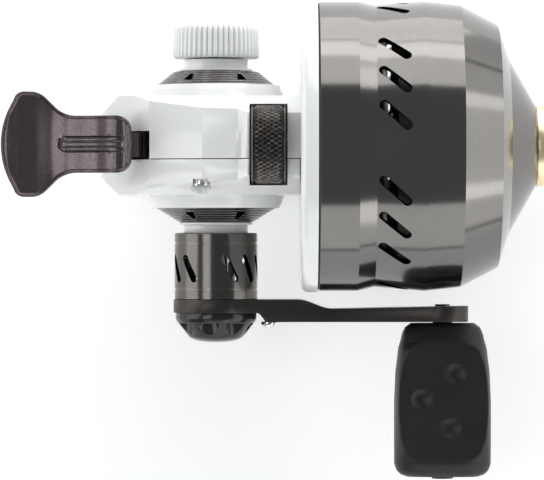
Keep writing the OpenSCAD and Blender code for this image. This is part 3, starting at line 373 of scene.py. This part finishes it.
def main_line(a, angle, r):
    """A point round the spool axis: a along X, angle from the top towards +Y."""
    return (a, r * math.sin(angle), AXIS_H / MM + r * math.cos(angle))


def crank_line(a, angle, r):
    """A point round the crank axis: a outwards on the crank side, angle from the top towards +X."""
    return (r * math.sin(angle), -a, CRANK_H / MM + r * math.cos(angle))


def far_line(a, angle, r):
    """A point round the crank axis: a outwards on the far side, angle from the top towards +X."""
    return (r * math.sin(angle), a, CRANK_H / MM + r * math.cos(angle))


def grid_faces(rows, n):
    """Quads between rows rings of n points each."""
    return [(i * n + k, i * n + (k + 1) % n, (i + 1) * n + (k + 1) % n, (i + 1) * n + k)
            for i in range(rows - 1) for k in range(n)]


def border_edges(tris):
    """Edges that only one triangle has, in the order they are met."""
    seen = {}
    for t in tris:
        for i in range(3):
            key = tuple(sorted((t[i], t[(i + 1) % 3])))
            seen[key] = seen.get(key, 0) + 1
    return [key for key, count in seen.items() if count == 1]


SLOT_END_STEPS = 12


class Mesh:
    """Vertices and faces gathered before one piece is made."""

    def __init__(self, place):
        self.place = place
        self.verts = []
        self.faces = []

    def add(self, points, faces):
        base = len(self.verts)
        self.verts += points
        self.faces += [tuple(base + i for i in face) for face in faces]

    def lathe(self, profile, angles):
        """Turns an open line of (along, radius) points; angles are the places round the axis."""
        n = len(angles)
        points = [self.place(a, t, r) for a, r in profile for t in angles]
        self.add(points, grid_faces(len(profile), n))

    def disc(self, a, r, angles):
        n = len(angles)
        self.add([self.place(a, t, r) for t in angles], [tuple(range(n))])

    def slotted_cell(self, start, end, wall, middle, half, steps, slot):
        """One stretch of a cone from start to end, both (along, radius), with a slot cut through it."""
        mean = (start[1] + end[1]) / 2
        points = []
        edges = []

        def chain(new, closed):
            base = len(points)
            points.extend(Vector(p) for p in new)
            count = len(new)
            edges.extend((base + i, base + (i + 1) % count) for i in range(count if closed else count - 1))

        for i in range(steps + 1):
            v = mean * half * (2 * i / steps - 1)
            chain([(start[0], v), (end[0], v)], False)
        for i in range(steps):
            v0, v1 = (mean * half * (2 * j / steps - 1) for j in (i, i + 1))
            chain([(start[0], v0), (start[0], v1)], False)
            chain([(end[0], v0), (end[0], v1)], False)
        if slot:
            at, run, width, slant = slot
            axis = Vector((math.cos(slant), math.sin(slant)))
            side = Vector((-axis.y, axis.x))
            ring = []
            for end_sign, turn in ((1, -90), (-1, 90)):
                for k in range(SLOT_END_STEPS + 1):
                    t = math.radians(turn + 180 * k / SLOT_END_STEPS)
                    ring.append(Vector((at, 0)) + axis * (end_sign * run / 2 + width / 2 * math.cos(t))
                                + side * (width / 2 * math.sin(t)))
            chain([tuple(p) for p in ring], True)
        out = delaunay_2d_cdt(points, edges, [], 0, 1e-6)
        flat, tris = out[0], out[2]
        if slot:
            def cut(p):
                rel = p - Vector((at, 0))
                u = max(-run / 2, min(run / 2, rel.dot(axis)))
                return (rel - axis * u).length < width / 2 - 1e-4
            tris = [t for t in tris if not cut(sum((flat[i] for i in t), Vector((0, 0))) / 3)]

        def skin(offset):
            made = []
            for p in flat:
                share = (p.x - start[0]) / (end[0] - start[0])
                r = start[1] + share * (end[1] - start[1]) - offset
                made.append(self.place(p.x, middle + p.y / mean, r))
            return made

        def outer_side(i, j):
            a, b = flat[i], flat[j]
            limit = mean * half - 1e-5
            return (abs(a.y) > limit and abs(b.y) > limit) or abs(a.x - b.x) < 1e-6 and (
                abs(a.x - start[0]) < 1e-5 or abs(a.x - end[0]) < 1e-5)

        rim = [key for key in border_edges(tris) if not outer_side(*key)]
        n = len(flat)
        outside = [tuple(t) for t in tris]
        inside = [tuple(n + i for i in reversed(t)) for t in tris]
        self.add(skin(0) + skin(wall), outside + inside + [(i, j, n + j, n + i) for i, j in rim])


def spaced(count, first=0.0):
    return [first + 2 * math.pi * k / count for k in range(count)]


def arc(cx, cy, r, a0, a1, n):
    """An arc of n stretches round (cx, cy), from a0 to a1 in degrees."""
    return [(cx + r * math.cos(math.radians(a0 + (a1 - a0) * i / n)),
             cy + r * math.sin(math.radians(a0 + (a1 - a0) * i / n))) for i in range(n + 1)]


VENT_FIRST = math.radians(11)
VENT_STEP = math.radians(15)
VENT_CELLS = 24
SLOTS_IN_FOUR = 3


def make_front_cover(mats):
    low, high = cover_low / MM, cover_high / MM
    back, front, r = low.x, high.x, (high.y - low.y) / 2
    wall = 1.5
    outer = [(back, r), (back + 9.6, r), (back + 13.8, r - 1), (back + 26.3, r), (back + 35.1, r - 0.9),
             (back + 44.5, r - 5.8), (back + 47.1, r - 13.9)]
    inner = [(a - (0.6 if i > 3 else 0), q - wall) for i, (a, q) in enumerate(outer)]
    shape = Mesh(main_line)
    angles = spaced(240, VENT_FIRST - VENT_STEP / 2)
    back_rim = [(back, r - wall + 0.25), (back, r - 0.15), (back + 0.15, r)]
    nose_r, nose_deep = 6.2, 1.2
    nose = [(front - 0.1, 10.1), (front, 9.9), (front, nose_r), (front - nose_deep, nose_r),
            (front - nose_deep, 9)]
    shape.lathe(list(reversed(inner[:3])) + back_rim + outer[1:3], angles)
    shape.lathe(outer[3:] + nose + list(reversed(inner[3:])), angles)
    slot = (44.0, 7.7, 2.4, -math.radians(42.6))
    for cell in range(VENT_CELLS):
        shape.slotted_cell(outer[2], outer[3], wall, VENT_FIRST + VENT_STEP * cell, VENT_STEP / 2, 10,
                           slot if cell % 4 < SLOTS_IN_FOUR else None)
    stand_in("cover_turned", shape.verts, shape.faces, "front_cover", mats, 3.2)


def make_drum(mats):
    low, high = (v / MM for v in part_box("slotted_drum"))
    start, length, r, wall = -high.y, high.y - low.y, (high.x - low.x) / 2, 1.2
    first, step = math.radians(21), math.radians(30)
    bore_r, cells = 3.0, 12
    shape = Mesh(crank_line)
    angles = spaced(144, first - step / 2)
    band = (start + 4.2, start + length - 3.6)
    plate = start + 1.95

    def line(a):
        return [(a - 0.2, r), (a - 0.12, r - 0.25), (a + 0.12, r - 0.25), (a + 0.2, r)]

    shape.lathe([(plate, bore_r), (start + 0.65, bore_r), (start + 0.65, 8.42), (start, 8.42),
                 (start, r - 0.3), (start + 0.08, r - 0.1), (start + 0.3, r)] + line(start + 2.6)
                + [(band[0], r)], angles)
    shape.lathe([(band[1], r)] + line(start + length - 2.6)
                + [(start + length - 0.2, r), (start + length, r - 0.2), (start + length, r - wall),
                   (band[1], r - wall)], angles)
    shape.lathe([(plate, bore_r), (plate, r - wall), (band[0], r - wall)], angles)
    slot = (start + 8.95, 5.8, 1.9, math.radians(28))
    for cell in range(cells):
        shape.slotted_cell((band[0], r), (band[1], r), wall, first + step * cell, step / 2, 12,
                           slot if cell % 4 < SLOTS_IN_FOUR else None)
    stand_in("drum_turned", shape.verts, shape.faces, "slotted_drum", mats, 12)


def make_side_cap(mats):
    low, high = (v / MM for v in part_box("side_cap"))
    start, length, r = low.y, high.y - low.y, (high.x - low.x) / 2
    ribs, per_rib = 48, 10
    shape = Mesh(far_line)
    angles = spaced(ribs * per_rib)
    rib_depth, groove_share = 0.8, 0.24
    # along, drop below the full radius, share of the rib's depth
    profile = [(0.0, 0.6, 0.4), (0.25, 0.2, 0.8), (0.65, 0.0, 1.0), (2.5, 0.06, 1.0),
               (length - 2.0, 0.2, 1.0), (length - 1.2, 0.3, 0.95), (length - 0.6, 0.55, 0.7),
               (length - 0.2, 1.0, 0.3), (length, 1.75, 0.0)]
    points = []
    for a, drop, depth in profile:
        for k, t in enumerate(angles):
            phase = (k % per_rib) / per_rib
            groove = max(0.0, 1 - abs(phase - 0.5) / groove_share) ** 0.8
            points.append(far_line(start + a, t, r - drop - rib_depth * depth * groove))
    n = len(angles)
    shape.add(points, grid_faces(len(profile), n))
    shape.disc(start, r - 0.92, angles)
    shape.lathe([(start + length, r - 1.75), (start + length, r - 3.4), (start + length - 0.35, r - 3.7),
                 (start + length - 0.35, 0.6)], angles)
    shape.disc(start + length - 0.35, 0.6, angles)
    stand_in("side_cap_ribbed", shape.verts, shape.faces, "side_cap", mats, 38)


def make_dial(mats):
    """A wheel with a diamond knurl between two chamfered rims."""
    low, high = (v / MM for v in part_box("drag_dial"))
    dial_z = (low.z + high.z) / 2
    r = (high.z - low.z) / 2

    def place(a, angle, q):
        return (a, q * math.sin(angle), dial_z + q * math.cos(angle))

    shape = Mesh(place)
    around, across = 50, 4
    peak_drop, valley_drop = 0.05, 0.75
    rim = 0.35
    half_a = (high.x - low.x - 2 * rim - 0.5) / (2 * across)
    start = low.x + rim + 0.25
    columns = 2 * across + 1
    rows = 2 * around
    points = []
    for i in range(columns):
        for j in range(rows):
            peak = (i + j) % 2 == 0
            edge = i in (0, columns - 1)
            drop = peak_drop if peak and not edge else valley_drop
            points.append(place(start + i * half_a, math.pi * j / around, r - drop))
    faces = []
    for i in range(columns - 1):
        for j in range(rows):
            a, b = i * rows + j, i * rows + (j + 1) % rows
            c, d = (i + 1) * rows + (j + 1) % rows, (i + 1) * rows + j
            faces += [(a, b, d), (b, c, d)] if (i + j) % 2 else [(a, b, c), (a, c, d)]
    shape.add(points, faces)
    angles = spaced(rows)
    end = start + (columns - 1) * half_a
    for edge, side, out in ((start, low.x, -1), (end, high.x, 1)):
        shape.lathe([(edge, r - 0.6), (edge + out * 0.08, r - 0.5), (edge + out * 0.2, r - 0.1),
                     (side - out * 0.35, r - 0.08), (side - out * 0.05, r - 0.6), (side, r - 0.75),
                     (side, 2.0)], angles)
    stand_in("dial_knurled", shape.verts, shape.faces, "drag_dial", mats, 16)


def smooth_min(a, b, k):
    """The smaller of two values, rounded over where they come within k."""
    h = max(0.0, min(1.0, 0.5 + 0.5 * (b - a) / k))
    return b * (1 - h) + a * h - k * h * (1 - h)


def ease(x, a, b):
    """0 up to a, 1 from b, and an S-curve between."""
    t = max(0.0, min(1.0, (x - a) / (b - a)))
    return t * t * (3 - 2 * t)


def between(table, x):
    """Smooth value of a table of (x, value) pairs."""
    if x <= table[0][0]:
        return table[0][1]
    for (x0, v0), (x1, v1) in zip(table, table[1:]):
        if x <= x1:
            return v0 + (v1 - v0) * ease(x, x0, x1) * 0.5 + (v1 - v0) * (x - x0) / (x1 - x0) * 0.5
    return table[-1][1]


KNOB_DIMPLES = [(2.9, 12.6), (-5.6, 19.0), (1.7, 26.2)]
DIMPLE_R = 2.6
DIMPLE_DEEP = 1.05


def make_knob(mats):
    """A soft rounded grip with an oval planed face and three dimples on each side."""
    low, high = (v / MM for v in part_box("crank_knob"))
    mid_x, mid_z = (low.x + high.x) / 2, (low.z + high.z) / 2
    half_w, half_t, length = (high.x - low.x) / 2, (high.z - low.z) / 2, high.y - low.y
    widths = [(0.0, half_w - 4.1), (1.2, half_w - 2.6), (3.0, half_w - 1.9), (7.0, half_w - 0.95),
              (13.0, half_w - 0.3), (20.0, half_w - 0.03), (30.0, half_w), (length - 3.2, half_w - 0.02),
              (length - 1.6, half_w - 0.55), (length - 0.6, half_w - 1.5), (length, half_w - 3.0)]
    depths = [(0.0, 4.2), (1.0, 5.3), (3.0, 6.4), (4.5, 7.1), (7.0, 9.0), (11.0, 10.8), (16.0, 12.0),
              (22.0, 12.0), (28.0, 10.5), (32.0, 8.7), (length - 3.6, 7.1), (length - 1.2, 5.9),
              (length - 0.3, 4.9), (length, 4.3)]
    flat = half_t - 0.25
    rows = sorted({0, 0.25, 0.6, 1.0, 1.5, 2.0, 2.7, length - 2.4, length - 1.8, length - 1.3, length - 0.9,
                   length - 0.55, length - 0.28, length - 0.1, length}
                  | {3.2 + 0.3 * i for i in range(int((length - 6.2) / 0.3) + 1)})
    sides = 176
    points = []
    for t in rows:
        w, d = between(widths, t), between(depths, t)
        for k in range(sides):
            a = 2 * math.pi * k / sides
            c, s = math.cos(a), math.sin(a)
            x = w * math.copysign(abs(c) ** 0.62, c)
            full = d * math.copysign(abs(s) ** 0.74, s)
            lean = 0.018 * x
            z = smooth_min(abs(full), flat - abs(lean) + 0.1 * ease(abs(t - 19), 8, 20), 0.35)
            for dx, dt in KNOB_DIMPLES:
                reach = math.hypot(x - (dx if s > 0 else -dx), t - dt)
                if reach < DIMPLE_R and z > flat - 1.2:
                    z -= DIMPLE_DEEP * (1 - (reach / DIMPLE_R) ** 2)
            points.append((mid_x + x, high.y - t, mid_z + math.copysign(min(z, half_t - 0.02), s)))
    faces = grid_faces(len(rows), sides)
    faces += [tuple(range(sides)), tuple((len(rows) - 1) * sides + k for k in range(sides))]
    stand_in("knob_grip", points, faces, "crank_knob", mats, 50)


def lever_outline(rear, front, pad, shank, fine):
    """Plan of the thumb lever as (x, y) points, counter-clockwise from the front."""
    edge_r, corner, flare = 20.5, 3.6, 7.5
    edge_a = math.degrees(math.asin((pad - 1.6) / edge_r))
    upper = (arc(front - corner, shank - corner, corner, 14, 90, 5 * fine)
             + arc(rear + 18.4, shank + flare, flare, -90, -135, 3 * fine)
             + arc(rear + 7.3, pad - 5, 5, 45, 90, 3 * fine)
             + arc(rear + 5.6, pad - 2.6, 2.6, 90, 180 - edge_a, 3 * fine))
    back = arc(rear + edge_r, 0, edge_r, 180 - edge_a, 180 + edge_a, 12 * fine)[1:-1]
    lower = [(x, -y) for x, y in reversed(upper)]
    nose = [(front + 0.1 - 0.1 * abs(k) / 3, k) for k in (-2, -1, 0, 1, 2)]
    return nose + upper + back + lower


def resample(points, step):
    """The same closed outline with no stretch longer than step."""
    out = []
    for (x0, y0), (x1, y1) in zip(points, points[1:] + points[:1]):
        n = max(1, round(math.hypot(x1 - x0, y1 - y0) / step))
        out += [(x0 + (x1 - x0) * i / n, y0 + (y1 - y0) * i / n) for i in range(n)]
    return out


def inset(points, d):
    """The closed outline moved inwards by d."""
    out = []
    n = len(points)
    for i, (x, y) in enumerate(points):
        ax, ay = points[i - 1]
        bx, by = points[(i + 1) % n]
        tx, ty = bx - ax, by - ay
        length = math.hypot(tx, ty)
        out.append((x - ty / length * d, y + tx / length * d))
    return out


def edge_distance(points, x, y):
    """Shortest distance from (x, y) to the closed outline."""
    best = 1e9
    for (x0, y0), (x1, y1) in zip(points, points[1:] + points[:1]):
        dx, dy = x1 - x0, y1 - y0
        t = max(0.0, min(1.0, ((x - x0) * dx + (y - y0) * dy) / (dx * dx + dy * dy)))
        best = min(best, math.hypot(x - x0 - t * dx, y - y0 - t * dy))
    return best


def prism(outline, half, base):
    """Side plate in X and Z of the given half width, as verts and faces starting at base."""
    n = len(outline)
    verts = [(x, side * half, z) for side in (1, -1) for x, z in outline]
    faces = [tuple(base + i for i in range(n)), tuple(base + n + i for i in reversed(range(n)))]
    faces += [(base + i, base + (i + 1) % n, base + n + (i + 1) % n, base + n + i) for i in range(n)]
    return verts, faces


def make_lever(mats):
    """Thumb lever: a dished pad with a raised rim, a ribbed recess along the shank, a neck and an arm."""
    low, high = (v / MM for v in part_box("thumb_lever"))
    pivot = next(j for j in frame["record"]["behaviour"]["joints"] if j["name"] == "lever_press")["pos_m"]
    px, pz = pivot[0] / MM, pivot[2] / MM
    rear, front, pad, top = low.x, -20.2, high.y, high.z
    shank, thick = 7.0, 3.7
    spine = [(rear, -1.3), (rear + 2.0, -2.4), (rear + 5.0, -3.35), (rear + 8.5, -3.7), (rear + 12.0, -3.5),
             (rear + 16.0, -2.9), (rear + 22.0, -1.55), (front - 4.6, -0.15), (front - 3.4, -0.02),
             (front - 2.4, -0.2), (front - 1.2, -0.85), (front, -2.0)]

    def height(x):
        return top + between(spine, x)

    outline = resample(lever_outline(rear, front, pad, shank, 2), 0.6)
    offsets = [0.0, 0.06, 0.16, 0.28, 0.4, 0.52, 0.66, 0.82, 1.1, 1.5]
    points, edges, depth = [], [], []

    def chain(new, d, closed=True):
        base, n = len(points), len(new)
        points.extend(Vector(p) for p in new)
        depth.extend([d] * n)
        edges.extend((base + i, base + (i + 1) % n) for i in range(n if closed else n - 1))

    for d in offsets:
        chain(inset(outline, d) if d else outline, d)
    for y in (0.5, 0.66, 0.82, 1.0, 1.62, 1.78, 1.92, 2.1):
        for sign in (-1, 1):
            chain([(-39.6 + 0.4 * i, sign * y) for i in range(46)], None, False)
    for i in range(12):
        chain([(front - 5.0 + 0.4 * i, 0.5 * k - 5.5) for k in range(23)], None, False)
    x = rear + 2.2
    grid_step = 0.62
    while x < front - 5.4:
        y = -pad + 2.0
        while y < pad - 2.0:
            inside = 0
            for (x0, y0), (x1, y1) in zip(outline, outline[1:] + outline[:1]):
                if (y0 > y) != (y1 > y) and x < x0 + (y - y0) / (y1 - y0) * (x1 - x0):
                    inside ^= 1
            if inside and not (-39.9 < x < -21.3 and abs(y) < 2.3) and edge_distance(outline, x, y) > 2.2:
                points.append(Vector((x, y)))
                depth.append(None)
            y += grid_step
        x += grid_step
    flat, _, tris, origin = delaunay_2d_cdt(points, edges, [tuple(range(len(outline)))], 1, 1e-6)[:4]

    def top_z(p, d):
        z = height(p.x)
        on_pad = 1 - ease(p.x, rear + 8, rear + 20)
        z += on_pad * 1.0 * (abs(p.y) / pad) ** 2.2
        rim = 1.0 - ease(d, 0.4, 0.82)
        z += rim * (0.22 + 0.3 * on_pad) - 0.22 * (1 - on_pad) * 0.5
        if d < 0.28:
            z -= 0.28 - math.sqrt(max(0.0, 0.28 ** 2 - (0.28 - d) ** 2))
        back, fore, half = -38.1, -22.5, 1.86
        cx = max(back + half, min(fore - 0.6, p.x))
        out = math.hypot(p.x - cx, p.y) - half if p.x < cx else max(abs(p.y) - half, p.x - fore)
        cut = 1 - ease(out, -0.16, 0.16)
        rib = (1 - ease(abs(p.y), 0.6, 0.86)) * ease(p.x, back + 0.7, back + 1.5)
        return min(top, z) - 0.85 * cut * (1 - 0.72 * rib)

    deep = []
    for i, p in enumerate(flat):
        marks = [depth[o] for o in origin[i] if o < len(depth) and depth[o] is not None] if origin[i] else []
        deep.append(min(marks) if marks else min(3.0, edge_distance(outline, p.x, p.y)))
    n = len(flat)
    verts = [(p.x, p.y, top_z(p, deep[i])) for i, p in enumerate(flat)]

    def low_z(p, d):
        z = height(p.x) - thick + (1 - ease(p.x, rear + 8, rear + 20)) * 0.9 * (abs(p.y) / pad) ** 2
        if d < 0.6:
            z += 0.6 - math.sqrt(max(0.0, 0.6 ** 2 - (0.6 - d) ** 2))
        return z

    verts += [(p.x, p.y, low_z(p, deep[i])) for i, p in enumerate(flat)]
    faces = [tuple(t) for t in tris] + [tuple(n + i for i in reversed(t)) for t in tris]
    faces += [(i, j, n + j, n + i) for i, j in border_edges(tris)]

    half = 2.9
    neck = [(-25.4, top - 3.2), (-18.6, top - 3.2), (-18.2, top - 5.6), (-17.6, pz + 4.2), (-14.6, pz + 3.0),
            (-15.2, pz + 2.1), (-18.6, pz + 1.6), (-20.6, pz + 2.3), (-22.2, pz + 3.4), (-23.6, pz + 6.0)]
    axis_z = AXIS_H / MM
    arm = [(px, pz + 2.0), (-22.6, pz + 0.4), (-24.6, pz - 0.4), (-25.75, pz - 1.6), (-25.75, axis_z)]
    arm += [(-24.25 + 1.5 * math.cos(math.radians(a)), axis_z + 1.5 * math.sin(math.radians(a)))
            for a in range(195, 360, 15)]
    arm += [(-22.75, axis_z), (-22.75, pz - 2.9), (px, pz - 2.4)]
    for shape in (neck, arm):
        more, more_faces = prism(shape, half, len(verts))
        verts += more
        faces += more_faces
    base, ring = len(verts), 48
    boss_r, bore_r = 3.6, 1.54
    for r in (boss_r, bore_r):
        for y in (half, -half):
            verts += [(px + r * math.cos(2 * math.pi * k / ring), y,
                       pz + r * math.sin(2 * math.pi * k / ring)) for k in range(ring)]
    for a, b in ((0, 1), (2, 3), (0, 2), (1, 3)):
        faces += [(base + a * ring + k, base + a * ring + (k + 1) % ring, base + b * ring + (k + 1) % ring,
                   base + b * ring + k) for k in range(ring)]
    stand_in("lever_formed", verts, faces, "thumb_lever", mats, 42)


# ---- CAD nodes that stay -----------------------------------------------------------------------

# bevel width in millimetres and the smallest angle that gets one, in degrees
SOFTEN = {"body_housing": (0.3, 11), "side_cover": (0.3, 11), "reel_foot": (0.3, 20), "crank_arm": (0.28, 26),
          "crank_nut_cap": (0.16, 14), "nose_ring": (0.1, 24), "far_trim_ring": (0.05, 30),
          "crank_trim_ring": (0.05, 30)}


def soften(obj, width, angle):
    weld = obj.modifiers.new("weld", "WELD")
    weld.merge_threshold = 0.002 * MM
    bevel = obj.modifiers.new("edges", "BEVEL")
    bevel.width = width * MM
    bevel.segments = 2
    bevel.limit_method = "ANGLE"
    bevel.angle_limit = math.radians(angle)
    bevel.harden_normals = True
    for poly in obj.data.polygons:
        poly.use_smooth = True


def dress_cad_nodes(mats):
    for name, obj in NODES.items():
        obj.data.materials.clear()
        obj.data.materials.append(mats[SLOT_OF[name]])
        if not obj.hide_render:
            soften(obj, *SOFTEN.get(name, (0.1, 32)))


make_camera()
make_studio()
make_floor()
materials = make_materials()
make_front_cover(materials)
make_drum(materials)
make_side_cap(materials)
make_dial(materials)
make_knob(materials)
make_lever(materials)
dress_cad_nodes(materials)
